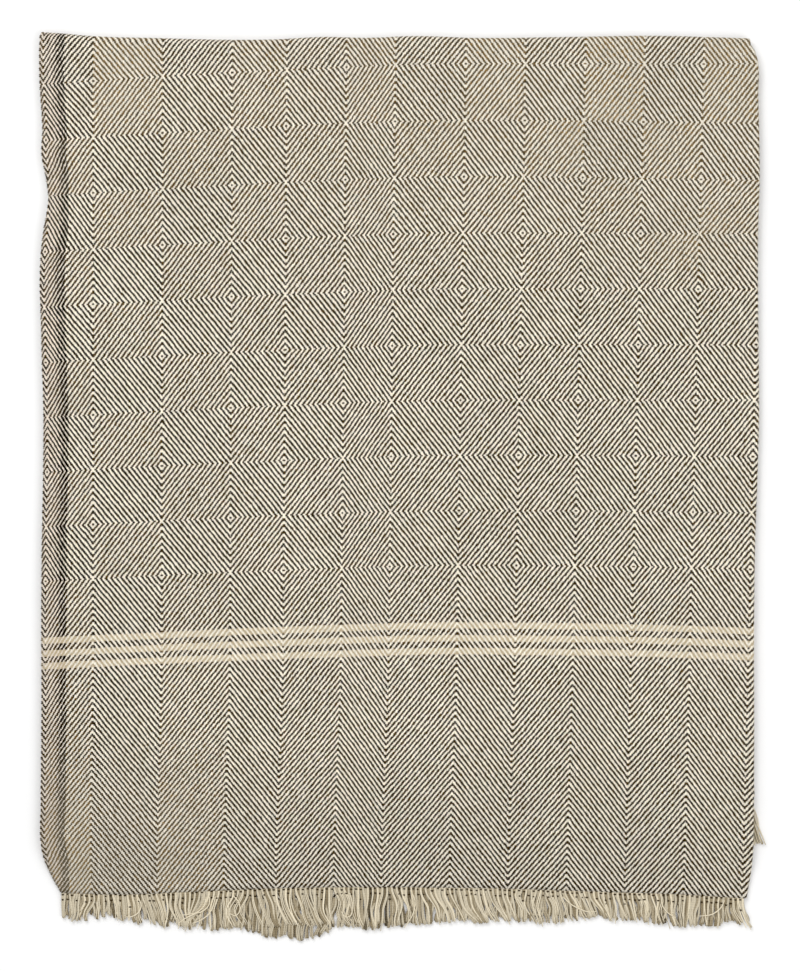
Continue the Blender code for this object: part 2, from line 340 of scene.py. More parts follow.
def section(half, down, places):
    """Places across and heights of a half's middle surface, measured from its outer face."""
    across, turn, inner = places
    outer_left = LEFT + along(half.left, down)
    left = outer_left + inner * INNER_SELVEDGE_INSET
    fold = RIGHT - along(half.right, down) - SIDE_RADIUS
    angle = math.pi * turn
    radius = SIDE_RADIUS - LAYER / 2
    in_arc = (turn > 0) & (turn < 1)
    x = np.where(in_arc, fold + radius * np.sin(angle), left + across * (fold - left))
    flat = np.where(inner > 0, pair_thickness(across) - LAYER / 2, LAYER / 2)
    return x, np.where(in_arc, SIDE_RADIUS - radius * np.cos(angle), flat)


def fold_axis(across):
    """The crosswise fold's axis: y and height."""
    height = pair_thickness(across) + TOP_FOLD_GAP / 2
    return TOP + along(TOP_LINE, across) - height, height


def half_row(half, down, places):
    """A row of the sheet's middle surface, down from the crosswise fold."""
    across, turn, inner = places
    x, height = section(half, down, places)
    start, _ = fold_axis(across)
    end_line = np.where(turn > 0.5, along(half.inner_end, across), along(half.outer_end, across))
    y = start + (TOP - half.length - end_line - start) * down / half.length
    z = height
    if half.turned_over:
        z = upper_floor(across, y) + pair_thickness(across) - height
        z = z + wave_height(x, y) * ease(down / WAVES_START)
    return np.stack([x, y, z * swell(across, down)], axis=1)


def fold_row(turned, places):
    """A row around the crosswise fold: turned is 0 where it leaves the lower half, 1 at the upper."""
    lower_x, height = section(LOWER, 0.0, places)
    upper_x, _ = section(UPPER, 0.0, places)
    axis_y, axis_height = fold_axis(places[0])
    angle = math.pi * (turned - 0.5)
    radius = axis_height - height
    x = lower_x + turned * (upper_x - lower_x)
    return np.stack([x, axis_y + radius * math.cos(angle), axis_height + radius * math.sin(angle)], axis=1)


def column_line(end, y):
    """X of a diamond column's axis at heights on the upper half."""
    close = min(max(CLOSE_ENDS[1] - end, 0), CLOSE_ENDS[1] - CLOSE_ENDS[0])
    x = LAST_COLUMN - (MIDDLE_END - end) * SPACING + close * (SPACING - CLOSE_SPACING)
    share = (x - LEFT) / FOLDED_WIDTH
    pull = HEM_PULL * share * (1 - share) ** 2 * ease((PULL_FROM - y) / PULL_RUN)
    return x + LEAN * ease(share) * (y - LEAN_HEIGHT) - pull


def pick_line(pick, x):
    """Y of a line of picks at places across the upper half."""
    past = pick - TENTH_ROW_PICK
    crest = TENTH_ROW_Y + PICK_SPACING * past * (1 + SPACING_GROWTH * past)
    left = np.maximum(CREST - x, 0) / (CREST - LEFT)
    right = np.maximum(x - CREST, 0) / (RIGHT - CREST)
    left_fall = LEFT_FALL * (1 + LEFT_GROWTH * past) * left ** LEFT_POWER
    sag = SAG * math.exp(-((pick - SAG_PICK) / SAG_PICKS) ** 2)
    return crest - left_fall - (RIGHT_FALL * max(LEVEL_PICK - pick, 0) / LEVEL_RUN + sag) * right ** 2


def outer_ends(x, y):
    """Count of ends at places on the outer layer, between its selvedge and the diamond columns."""
    lines = np.stack([column_line(end, y) for end in COLUMN_ENDS])
    edge = np.minimum(x.min(axis=-1, keepdims=True), LEFT + MOST_SELVEDGE_INSET)
    result = np.empty_like(x)
    for spot in np.ndindex(x.shape):
        left = edge[spot[0], 0]
        places = [left, left + DENSE_EDGE, *lines[(slice(None), *spot)]]
        result[spot] = np.interp(x[spot], places, [0, DENSE_ENDS, *COLUMN_ENDS])
        result[spot] += max(x[spot] - places[-1], 0) / SPACING
    return result


def outer_picks(x, y, end_y):
    """Count of picks at places on the upper half, between its hem and the crosswise fold."""
    lines = np.stack([end_y, *(pick_line(pick, x) for pick in LINE_PICKS)])
    result = np.empty_like(x)
    for spot in np.ndindex(x.shape):
        heights = lines[(slice(None), *spot)]
        result[spot] = np.interp(y[spot], heights, [0, *LINE_PICKS])
        result[spot] += max(y[spot] - heights[-1], 0) / PICK_SPACING
    return result


def thread_counts(points, places, lower_rows, fold_rows):
    """Ends and picks at every point of the sheet, rows by columns."""
    across, turn, inner = places
    first_upper = lower_rows + fold_rows
    outer = OUTER_COLUMNS + 1
    upper = points[first_upper:]
    ends = np.empty(points.shape[:2])
    ends[first_upper:, :outer] = outer_ends(upper[:, :outer, 0], upper[:, :outer, 1])
    ends[:first_upper, :outer] = ends[first_upper, :outer]
    at_fold = ends[:, outer - 1:outer]
    around = at_fold + turn[outer:] * math.pi * (SIDE_RADIUS - LAYER / 2) / SPACING
    last = 2 * MIDDLE_END
    ends[:, outer:] = around + inner[outer:] * (1 - across[outer:]) * (last - around)
    picks = np.empty(points.shape[:2])
    end_y = np.broadcast_to(upper[-1, :, 1], upper.shape[:2])
    picks[first_upper:] = outer_picks(upper[..., 0], upper[..., 1], end_y)
    steps = np.linalg.norm(np.diff(points[:first_upper + 1], axis=0), axis=2)
    run = np.concatenate([np.zeros((1, points.shape[1])), np.cumsum(steps, axis=0)])
    start = picks[first_upper]
    picks[:first_upper] = 2 * MIDDLE_PICK - (2 * MIDDLE_PICK - start) * (run / run[-1])[:-1]
    return ends, picks


def grid_faces(rows, columns):
    """Quads of a grid, rows by columns."""
    corner = np.arange((rows - 1) * columns).reshape(rows - 1, columns)[:, :-1].ravel()
    return np.stack([corner, corner + 1, corner + columns + 1, corner + columns], axis=1)


def new_mesh_piece(name, vertices, faces):
    """A smooth-shaded mesh piece at the origin."""
    mesh = bpy.data.meshes.new(name)
    mesh.from_pydata([tuple(vertex) for vertex in vertices], [], [tuple(face) for face in faces])
    mesh.shade_smooth()
    mesh.update()
    piece = bpy.data.objects.new(name, mesh)
    bpy.context.scene.collection.objects.link(piece)
    return piece


def lay_map(piece, name, first, second):
    """A UV map from a pair of numbers for each of the mesh's vertices."""
    layer = piece.data.uv_layers.new(name=name)
    corners = np.empty(len(piece.data.loops), np.int32)
    piece.data.loops.foreach_get("vertex_index", corners)
    pairs = np.stack([first[corners], second[corners]], axis=1)
    layer.data.foreach_set("uv", pairs.astype(np.float32).ravel())


def fold_sheet():
    """The cloth's middle surface, rows by columns, with its thread counts."""
    places = section_places()
    downs = np.linspace(0, 1, LOWER_ROWS + 1)[::-1] * LOWER_LENGTH
    rows = [half_row(LOWER, down, places) for down in downs[:-1]]
    lower_rows = len(rows)
    rows += [fold_row(step / ARC_STEPS, places) for step in range(ARC_STEPS)]
    fold_rows = len(rows) - lower_rows
    rows += [half_row(UPPER, step / UPPER_ROWS * FOLDED_LENGTH, places) for step in range(UPPER_ROWS + 1)]
    points = np.array(rows)
    return points, *thread_counts(points, places, lower_rows, fold_rows)


def make_cloth(points, ends, picks):
    """The whole cloth, one folded sheet."""
    rows, columns = ends.shape
    cloth = new_mesh_piece("cloth", points.reshape(-1, 3), grid_faces(rows, columns)[:, ::-1])
    lay_map(cloth, "threads", ends.ravel(), picks.ravel())
    thickness = cloth.modifiers.new("thickness", "SOLIDIFY")
    thickness.thickness = SHEET_THICKNESS
    thickness.offset = 0.0
    return cloth


class Nodes:
    """Adds shader nodes to a material's tree and links them."""

    def __init__(self, name):
        self.material = bpy.data.materials.new(name)
        self.material.use_nodes = True
        self.tree = self.material.node_tree
        self.shader = self.tree.nodes["Principled BSDF"]

    def add(self, kind, inputs=(), **settings):
        """A node with its settings, whose named or numbered inputs take a number or a socket."""
        node = self.tree.nodes.new(kind)
        for setting, value in settings.items():
            setattr(node, setting, value)
        for key, value in dict(inputs).items():
            if isinstance(value, bpy.types.NodeSocket):
                self.tree.links.new(value, node.inputs[key])
            else:
                node.inputs[key].default_value = value
        return node

    def maths(self, operation, *operands):
        """The result of a Math node."""
        return self.add("ShaderNodeMath", enumerate(operands), operation=operation).outputs[0]

    def remap(self, value, low, high, to_low=0.0, to_high=1.0, kind="SMOOTHSTEP"):
        """A value taken from one range into another, and held at its ends."""
        inputs = {"Value": value, "From Min": low, "From Max": high, "To Min": to_low, "To Max": to_high}
        return self.add("ShaderNodeMapRange", inputs, interpolation_type=kind).outputs[0]

    def mix(self, share, first, second):
        """A blend of two colours."""
        node = self.add("ShaderNodeMix", data_type="RGBA")
        for key, value in ((0, share), (6, first), (7, second)):
            if isinstance(value, bpy.types.NodeSocket):
                self.tree.links.new(value, node.inputs[key])
            else:
                node.inputs[key].default_value = value if key == 0 else (*value, 1.0)
        return node.outputs[2]

    def pair(self, first, second):
        """A vector from two numbers."""
        return self.add("ShaderNodeCombineXYZ", {"X": first, "Y": second}).outputs[0]

    def noise(self, first, second, rates, detail=2.0):
        """Soft noise over a pair of counts, each at its own rate: 0 to 1, mostly near the middle."""
        vector = self.pair(self.maths("MULTIPLY", first, rates[0]), self.maths("MULTIPLY", second, rates[1]))
        inputs = {"Vector": vector, "Scale": 1.0, "Detail": detail, "Roughness": 0.55}
        return self.add("ShaderNodeTexNoise", inputs, noise_dimensions="2D").outputs["Fac"]

    def spot_noise(self, vector):
        """A random number from 0 to 1 for each whole place."""
        return self.add("ShaderNodeTexWhiteNoise", {"Vector": vector}, noise_dimensions="2D").outputs["Value"]

    def finish(self, colour, height, strength, distance):
        """Matt yarn of a colour, with bump from a height."""
        inputs = {"Strength": strength, "Distance": distance, "Height": height}
        bump = self.add("ShaderNodeBump", inputs)
        self.tree.links.new(colour, self.shader.inputs["Base Color"])
        self.tree.links.new(bump.outputs[0], self.shader.inputs["Normal"])
        self.shader.inputs["Roughness"].default_value = YARN_ROUGHNESS
        self.shader.inputs["Specular IOR Level"].default_value = YARN_SPECULAR


THREADING_TURNS = (HOOK_END, *COLUMN_ENDS[:-1])


def draft_of_ends(nodes, end):
    """The threading: rises and falls by one for each end, and turns at the hook and at each column."""
    result = nodes.maths("SUBTRACT", end, float(COLUMN_ENDS[0] - HOOK_END))
    for number, turn in enumerate(THREADING_TURNS):
        past = nodes.maths("MAXIMUM", nodes.maths("SUBTRACT", end, float(turn)), 0.0)
        result = nodes.maths("MULTIPLY_ADD", past, -2.0 if number % 2 == 0 else 2.0, result)
    return result


def slant(nodes, end, pick):
    """Which way the twill's lines lean: 1 where they fall towards the lengthwise fold, or else -1."""
    rise = 1.0
    for number, turn in enumerate(THREADING_TURNS):
        past = nodes.maths("GREATER_THAN", end, float(turn))
        rise = nodes.maths("MULTIPLY_ADD", past, -2.0 if number % 2 == 0 else 2.0, rise)
    climb = nodes.maths("SUBTRACT", draft_of_picks(nodes, nodes.maths("ADD", pick, 0.5)),
                        draft_of_picks(nodes, nodes.maths("SUBTRACT", pick, 0.5)))
    return nodes.maths("MULTIPLY", rise, climb)


def fluff(nodes, end, pick):
    """How fluffed up the cloth is, 0 to 1: more towards the crosswise fold, at the lower selvedge
    corner, and in a few patches."""
    top = nodes.maths("MULTIPLY", nodes.remap(pick, *TOP_FLUFF_PICKS),
                      nodes.remap(end, 0.0, float(MIDDLE_END), *TOP_FLUFF))
    corner = nodes.maths("MULTIPLY", nodes.remap(pick, *CORNER_PICKS, 1.0, 0.0),
                         nodes.remap(end, *CORNER_ENDS, 1.0, 0.0))
    result = nodes.maths("MAXIMUM", top, corner)
    for middle_end, middle_pick, ends, picks in FLUFFED:
        sideways = nodes.maths("DIVIDE", nodes.maths("SUBTRACT", end, float(middle_end)), float(ends))
        along_it = nodes.maths("DIVIDE", nodes.maths("SUBTRACT", pick, float(middle_pick)), float(picks))
        away = nodes.add("ShaderNodeVectorMath", {0: nodes.pair(sideways, along_it)}, operation="LENGTH")
        near = nodes.remap(away.outputs["Value"], 0.3, 1.2, 1.0, 0.0)
        result = nodes.maths("MULTIPLY_ADD", near, PATCH_FLUFF, result)
    return result


def draft_of_picks(nodes, pick):
    """The treadling: back and forth between the diamond rows, straight on below the tenth row."""
    above = nodes.maths("MAXIMUM", pick, float(TENTH_ROW_PICK))
    swing = nodes.maths("PINGPONG", nodes.maths("SUBTRACT", above, TENTH_ROW_PICK + ROW_PICKS), ROW_PICKS)
    below = nodes.maths("MINIMUM", nodes.maths("SUBTRACT", pick, float(TENTH_ROW_PICK)), 0.0)
    return nodes.maths("ADD", swing, below)


def phase_of(nodes, threading, treadling):
    """Where a place lies in the twill's repeat of four: 0 in a weft float's middle, 2 in a warp's."""
    return nodes.maths("ABSOLUTE", nodes.maths("WRAP", nodes.maths("ADD", threading, treadling), 2.0, -2.0))


def round_profile(nodes, place):
    """A yarn's roundness across its own width, from its place in whole threads."""
    offset = nodes.maths("SUBTRACT", nodes.maths("FRACT", place), 0.5)
    return nodes.maths("SQRT", nodes.maths("MAXIMUM", nodes.maths("MULTIPLY_ADD", nodes.maths(
        "MULTIPLY", offset, offset), -4.0, 1.0), 0.0))


def scaled(nodes, colour, share):
    """A colour made darker or lighter."""
    return nodes.add("ShaderNodeVectorMath", {0: colour, 3: share}, operation="SCALE").outputs[0]


def about(nodes, noise, reach, middle):
    """A noise as a spread to both sides of a middle value."""
    return nodes.maths("MULTIPLY_ADD", nodes.maths("SUBTRACT", noise, 0.5), reach, middle)


def uneven_threads(nodes, threads):
    """Ends and picks that wander a little and differ in thickness."""
    split = nodes.add("ShaderNodeSeparateXYZ", {0: threads})
    loose = nodes.pair(nodes.maths("MULTIPLY", split.outputs[0], WANDER_RATES[0]),
                       nodes.maths("MULTIPLY", split.outputs[1], WANDER_RATES[1]))
    wander = nodes.add("ShaderNodeTexNoise", {"Vector": loose, "Scale": 1.0, "Detail": 2.0, "Roughness": 0.6},
                       noise_dimensions="2D")
    offsets = nodes.add("ShaderNodeSeparateColor", {0: wander.outputs["Color"]})
    result = []
    for number in (0, 1):
        own, other = split.outputs[number], split.outputs[1 - number]
        thickness = nodes.noise(own, other, THICKNESS_RATES, 1.0)
        moved = nodes.maths("ADD", own, about(nodes, offsets.outputs[number], WANDER, 0.0))
        result.append(nodes.maths("ADD", moved, about(nodes, thickness, THICKNESS_SPREAD, 0.0)))
    return result


def changed(nodes, value, cause, change):
    """A value made larger or smaller by a share of itself, as far as its cause is there."""
    return nodes.maths("MULTIPLY", value, nodes.maths("MULTIPLY_ADD", cause, change, 1.0))


def weave_material():
    """Point twill of cream warp and near-black brown weft, with its cream stripes, from thread counts."""
    nodes = Nodes("point_twill")
    threads = nodes.add("ShaderNodeUVMap", uv_map="threads").outputs[0]
    across, down = uneven_threads(nodes, threads)
    end = nodes.maths("MINIMUM", across, nodes.maths("SUBTRACT", 2.0 * MIDDLE_END, across))
    pick = nodes.maths("MINIMUM", down, nodes.maths("SUBTRACT", 2.0 * MIDDLE_PICK, down))
    whole_end = nodes.maths("FLOOR", end)
    pick_edge = nodes.maths("ADD", pick, 0.5)
    whole_pick = nodes.maths("FLOOR", pick_edge)
    weft_reach = phase_of(nodes, draft_of_ends(nodes, end), draft_of_picks(nodes, whole_pick))
    warp_phase = phase_of(nodes, draft_of_ends(nodes, nodes.maths("ADD", whole_end, 0.5)),
                          draft_of_picks(nodes, pick))
    warp_reach = nodes.maths("SUBTRACT", 2.0, warp_phase)

    # Slubs along each yarn, a chance for each float, and the broad unevenness of the cloth
    chance = nodes.spot_noise(nodes.pair(nodes.maths("FLOOR", across), whole_pick))
    slub = nodes.noise(across, whole_pick, WEFT_SLUB_RATES)
    end_slub = nodes.noise(whole_end, down, WARP_SLUB_RATES)
    broad = nodes.noise(across, down, BROAD_RATES)

    # The weft's floats are bold beside the dense band's edge; painted shade where they fall towards the fold,
    # painted light where they fall the other way
    bold = nodes.maths("MULTIPLY", nodes.remap(end, *BOLD_ENDS),
                       nodes.remap(end, DENSE_ENDS + 0.4, DENSE_ENDS + 1.4, 1.0, 0.0))
    fluffed = fluff(nodes, end, pick)
    slant_shade = nodes.maths("MULTIPLY", slant(nodes, end, whole_pick),
                        nodes.maths("MAXIMUM", nodes.remap(end, *SLANT_SHADE_ENDS, 1.0, LEAST_SLANT_SHADE), fluffed))
    reach = about(nodes, slub, WEFT_SLUB_REACH, FLOAT_REACH)
    reach = nodes.maths("ADD", reach, about(nodes, end_slub, WARP_SLUB_REACH, 0.0))
    reach = nodes.maths("ADD", reach, about(nodes, chance, CHANCE_REACH, 0.0))
    reach = nodes.maths("MULTIPLY_ADD", bold, BOLD_REACH, reach)
    weft_up = nodes.maths("LESS_THAN", weft_reach, reach)

    # Roundness of the floats, which also sets the warp's painted shade and light
    weft_arch = nodes.remap(weft_reach, 1.15, 0.2)
    warp_arch = nodes.remap(warp_reach, 1.25, 0.25)
    weft_height = nodes.maths("MULTIPLY", weft_arch, round_profile(nodes, pick_edge))
    warp_height = nodes.maths("MULTIPLY", nodes.maths("MULTIPLY_ADD", warp_arch, 0.6, 0.4),
                              round_profile(nodes, end))
    height = nodes.add("ShaderNodeMix", {0: weft_up, 2: warp_height, 3: weft_height},
                       data_type="FLOAT").outputs[0]

    # The warp's colour, with painted shade at its yarns' edges and where they dip under the weft, and painted
    # light on their crests
    dense = nodes.remap(end, DENSE_ENDS - 3.0, DENSE_ENDS + 3.0, 1.0, 0.0)
    warp_painted_shade_and_tint = nodes.maths("MULTIPLY_ADD", warp_height, WARP_CREST_PAINTED_LIGHT, WARP_DIP_PAINTED_SHADE)
    warp_painted_shade_and_tint = nodes.maths("MULTIPLY", warp_painted_shade_and_tint, about(nodes, end_slub, WARP_SLUB_SHADE, 1.0))
    warp_painted_shade_and_tint = changed(nodes, warp_painted_shade_and_tint, fluffed, FLUFFED_SHADE)
    warp_painted_shade_and_tint = changed(nodes, warp_painted_shade_and_tint, slant_shade, SLANT_PAINTED_SHADE_ON_WARP)
    warp_painted_shade_and_tint = nodes.maths("MULTIPLY", warp_painted_shade_and_tint, about(nodes, chance, CHANCE_SHADE, 1.0))
    warp = scaled(nodes, nodes.mix(dense, WARP_CREAM, SELVEDGE_WARP), warp_painted_shade_and_tint)

    # The weft's colour, with painted light and shade between the twill's two slants
    stripe_place = nodes.maths("SUBTRACT", whole_pick, float(STRIPE_PICK))
    in_stripes = nodes.maths("MULTIPLY", nodes.maths("GREATER_THAN", stripe_place, -0.5),
                             nodes.maths("LESS_THAN", stripe_place, STRIPE_BLOCKS * STRIPE_BLOCK - 0.5))
    pale_block = nodes.maths("LESS_THAN", nodes.maths("MODULO", stripe_place, 2.0 * STRIPE_BLOCK),
                             STRIPE_BLOCK - 0.5)
    lift = nodes.maths("MULTIPLY", nodes.remap(chance, 0.0, 1.0, *CHANCE_LIFTS, "LINEAR"),
                       nodes.remap(slub, 0.35, 0.75, *SLUB_LIFTS, "LINEAR"))
    lift = changed(nodes, lift, fluffed, FLUFFED_LIFT)
    lift = changed(nodes, lift, slant_shade, SLANT_PAINTED_SHADE_ON_WEFT)
    lift = changed(nodes, lift, bold, BOLD_LIFT)
    pale_share = nodes.maths("MULTIPLY", fluffed, nodes.maths("MULTIPLY_ADD", slant_shade, SLANT_PAINTED_SHADE_ON_FLUFF, PALE_SHARE))
    brown = nodes.mix(pale_share, scaled(nodes, WEFT_BROWN, lift), FLUFFED_WEFT)
    weft = nodes.mix(nodes.maths("MULTIPLY", in_stripes, pale_block), brown, STRIPE_CREAM)

    colour = nodes.mix(weft_up, warp, weft)
    # Broad tone, times painted shade over the last picks by the hems
    tone = nodes.maths("MULTIPLY", about(nodes, broad, BROAD_TONE, 1.0),
                       nodes.remap(pick, *HEM_PICKS, *HEM_PAINTED_SHADES))
    nodes.finish(scaled(nodes, colour, tone), height, 0.4, 0.0004)
    return nodes.material


def fringe_material():
    """Soft twisted cotton yarn, each with its own shade that holds its tint and its painted light and shade,
    the darkest turned towards a painted shadow brown, and the brown bits of weft between them.
    """
    nodes = Nodes("fringe_yarn")
    shade = nodes.add("ShaderNodeAttribute", attribute_name="shade").outputs["Fac"]
    place = nodes.add("ShaderNodeSeparateXYZ", {0: nodes.add("ShaderNodeUVMap", uv_map="turns").outputs[0]})
    turns = nodes.maths("MULTIPLY_ADD", place.outputs[1], TWISTS_PER_METRE, place.outputs[0])
    twist = nodes.maths("SINE", nodes.maths("MULTIPLY", turns, math.tau))
    is_weft = nodes.maths("LESS_THAN", shade, 0.0)
    # Painted shadow: the darker a yarn's shade, the browner its colour
    cream = nodes.mix(nodes.remap(shade, *SHADOW_BROWN_SHADES, 1.0, 0.0), FRINGE_CREAM, FRINGE_SHADOW_BROWN)
    # Painted shade and light along the twist: its grooves a little darker, its ridges a little lighter
    pale = scaled(nodes, cream, nodes.maths("MULTIPLY_ADD", twist, 0.05, shade))
    nodes.finish(nodes.mix(is_weft, pale, WEFT_BROWN), twist, 0.3, 0.0002)
    return nodes.material


# The fringe's yarns
TWISTS_PER_METRE = 450.0
YARN_SIDES = 5
YARN_STEPS = 10
YARN_RADIUS = 0.00055
UNDER_RADIUS = 0.00070
YARN_TIP = 0.7
FRAYED_TIP = 1.35
INNER_FULLNESS = 1.25
# Painted shade over the inner layer's fringe, which lies under the outer one
INNER_PAINTED_SHADE = 0.72
OUTER_REST = 0.0013
PAIR = 2
PAIR_PITCH = 0.0009
WEFT_SHADE = -1.0
# Yarn shades over which the painted shadow brown gives way to cream
SHADOW_BROWN_SHADES = (0.30, 0.90)

# A yarn's course: how far inside the hem it starts, its straight run, and where it comes to rest
ROOT_REACH = 0.0010
STRAIGHT_RUN = 0.0024
SETTLE_FROM = 0.001
SETTLE_RUN = 0.010
LEAN_POWER = 1.25
CURL_TURN = 4.5
GATHERING = 0.8

# How groups, pairs and single yarns differ: numbers of yarns, spreads, and ranges of shade and lift. The
# raised yarns' shades are painted light, the under ones' painted shade; each yarn's own spread is its tint.
GROUP_SIZES = (6, 16)
GROUP_LEAN = 0.0016
GROUP_REACH = 0.0006
GROUP_CURL = 0.0016
PAIR_LEAN = 0.0014
PAIR_BOW = 0.0007
PAIR_CURL = 0.0009
RAISED_REACH = 0.0012
UNDER_REACH = 0.0007
SPLAY = 0.0006
RAISED_PAINTED_LIGHTS = (0.92, 1.18)
UNDER_PAINTED_SHADES = (0.38, 0.86)
YARN_SHADES = (0.95, 1.05)
RAISED_LIFTS = (0.0008, 0.0018)
UNDER_LIFTS = (0.0, 0.0006)

# Loose bits of weft: how far past the hem, and the chance of each
WEFT_BITS = ((0.0012, 0.88), (0.0060, 0.60), (0.0105, 0.12))
BIT_RADII = (0.0005, 0.0007, 0.0007, 0.0005)
BIT_REACHES = (0.0006, 0.0011)
BIT_HEIGHT = 0.0008
BIT_DROP = 0.0006
BIT_SHIFTS = (0.0003, 0.0006)

# How the fringe hangs along the width: share from the selvedge, reach past the hem, lean of the tips
# towards +X, sideways bow halfway, and how far its tips gather into groups, from 0 to 1
Hang = namedtuple("Hang", "across reach lean bow gather")
OUTER_HANG = (
    Hang(0.000, 0.0240, -0.005, 0.000, 0.3), Hang(0.030, 0.0245, -0.004, 0.001, 0.3),
    Hang(0.052, 0.0235, -0.002, 0.000, 0.3), Hang(0.064, 0.0180, 0.000, 0.000, 0.3),
    Hang(0.074, 0.0230, 0.003, 0.000, 0.4), Hang(0.100, 0.0250, 0.007, 0.000, 0.3),
    Hang(0.130, 0.0285, 0.007, 0.001, 0.3), Hang(0.150, 0.0310, 0.006, 0.002, 0.7),
    Hang(0.172, 0.0310, 0.004, 0.001, 0.7), Hang(0.188, 0.0345, -0.003, 0.000, 0.5),
    Hang(0.206, 0.0330, -0.019, 0.003, 0.3), Hang(0.222, 0.0350, -0.005, 0.000, 0.2),
    Hang(0.262, 0.0340, -0.003, -0.003, 0.2), Hang(0.290, 0.0340, 0.011, 0.000, 0.3),
    Hang(0.345, 0.0350, 0.011, -0.002, 0.3), Hang(0.390, 0.0335, 0.008, -0.003, 0.5),
    Hang(0.415, 0.0345, 0.008, -0.002, 0.6), Hang(0.445, 0.0385, 0.002, 0.001, 0.5),
    Hang(0.470, 0.0380, -0.004, 0.001, 0.4), Hang(0.500, 0.0320, 0.006, 0.001, 0.6),
    Hang(0.518, 0.0335, 0.000, 0.000, 0.5), Hang(0.535, 0.0320, 0.010, 0.001, 0.3),
    Hang(0.580, 0.0315, 0.014, -0.001, 0.2), Hang(0.630, 0.0300, 0.013, 0.000, 0.2),
    Hang(0.660, 0.0300, 0.006, -0.002, 0.3), Hang(0.715, 0.0300, 0.005, 0.000, 0.3),
    Hang(0.745, 0.0265, 0.009, 0.001, 0.5), Hang(0.770, 0.0235, 0.012, 0.000, 0.4),
    Hang(0.800, 0.0240, 0.008, 0.000, 0.3), Hang(0.835, 0.0260, 0.006, 0.000, 0.3),
    Hang(0.870, 0.0285, 0.004, 0.000, 0.2), Hang(0.940, 0.0295, -0.001, 0.001, 0.2),
    Hang(0.966, 0.0270, -0.003, 0.000, 0.4), Hang(0.978, 0.0220, 0.001, 0.000, 0.4),
    Hang(0.986, 0.0250, 0.007, -0.001, 0.4), Hang(1.000, 0.0270, 0.011, -0.002, 0.3),
)
INNER_HANG = (
    Hang(0.00, 0.0220, 0.0000, 0.0, 0.1), Hang(0.05, 0.0200, 0.0000, 0.0, 0.1),
    Hang(0.064, 0.0160, 0.0000, 0.0, 0.1), Hang(0.08, 0.0220, 0.0000, 0.0, 0.1),
    Hang(0.14, 0.0260, 0.0020, 0.0, 0.2), Hang(0.22, 0.0280, -0.0010, 0.0, 0.3),
    Hang(0.28, 0.0290, -0.0030, 0.0, 0.3), Hang(0.305, 0.0330, -0.0040, 0.0, 0.3),
    Hang(0.35, 0.0360, -0.0060, 0.0, 0.3), Hang(0.38, 0.0335, -0.0050, 0.0, 0.2),
    Hang(0.41, 0.0270, -0.0040, 0.0, 0.2), Hang(0.46, 0.0290, 0.0000, 0.0, 0.1),
    Hang(0.60, 0.0275, 0.0010, 0.0, 0.1), Hang(0.74, 0.0250, 0.0010, 0.0, 0.1),
    Hang(0.80, 0.0230, 0.0010, 0.0, 0.1), Hang(0.92, 0.0275, 0.0000, 0.0, 0.1),
    Hang(0.965, 0.0250, 0.0000, 0.0, 0.1), Hang(0.978, 0.0200, 0.0000, 0.0, 0.1),
    Hang(1.00, 0.0220, 0.0020, 0.0, 0.1),
)
LOWER_HANG = (
    Hang(0.00, 0.0280, 0.0000, 0.0, 0.4), Hang(0.30, 0.0310, 0.0020, 0.0, 0.4),
    Hang(0.60, 0.0290, -0.0020, 0.0, 0.4), Hang(0.90, 0.0310, 0.0020, 0.0, 0.4),
    Hang(1.00, 0.0440, 0.0110, 0.0, 0.4),
)

# Yarns that lie across the others in the upper outer layer, as points of x, y
STRAY_HEIGHT = 0.0034
STRAY_ARCH = 0.0016
# Painted light on the stray yarns, which lie on top
STRAY_PAINTED_LIGHTS = (1.1, 1.2)
STRAYS = (
    ((-0.2330, -0.3850), (-0.2300, -0.3920), (-0.2320, -0.3985), (-0.2380, -0.4025), (-0.2440, -0.4030)),
    ((-0.1690, -0.3850), (-0.1700, -0.3930), (-0.1770, -0.3985), (-0.1870, -0.4005), (-0.1945, -0.4015)),
    ((-0.1720, -0.3850), (-0.1745, -0.3940), (-0.1825, -0.4000), (-0.1905, -0.4040), (-0.1965, -0.4085)),
    ((-0.1640, -0.3850), (-0.1665, -0.3950), (-0.1715, -0.4020), (-0.1785, -0.4065), (-0.1850, -0.4088)),
    ((-0.1480, -0.3840), (-0.1430, -0.3900), (-0.1420, -0.3970), (-0.1460, -0.4020), (-0.1510, -0.4000)),
    ((-0.0440, -0.3820), (-0.0420, -0.3920), (-0.0430, -0.4010), (-0.0480, -0.4030), (-0.0520, -0.3980)),
    ((0.0110, -0.3810), (0.0140, -0.3900), (0.0120, -0.4000), (0.0080, -0.4070), (0.0040, -0.4130)),
    ((0.1455, -0.3850), (0.1525, -0.3915), (0.1600, -0.3955), (0.1680, -0.3985), (0.1755, -0.3982)),
    ((0.2900, -0.3860), (0.2865, -0.3940), (0.2800, -0.3995), (0.2740, -0.4016), (0.2670, -0.4022)),
    ((0.2330, -0.3860), (0.2340, -0.3925), (0.2375, -0.3980), (0.2420, -0.4015), (0.2460, -0.4040)),
)

# Where the fringe parts and its lower yarns carry painted shadow: share from the selvedge
PARTINGS = (0.069, 0.110, 0.155, 0.163, 0.189, 0.222, 0.271, 0.452, 0.473, 0.494, 0.509, 0.533, 0.744, 0.780,
            0.881, 0.901, 0.961)
PARTING_REACH = 0.004
PARTING_SHADOW = 0.6


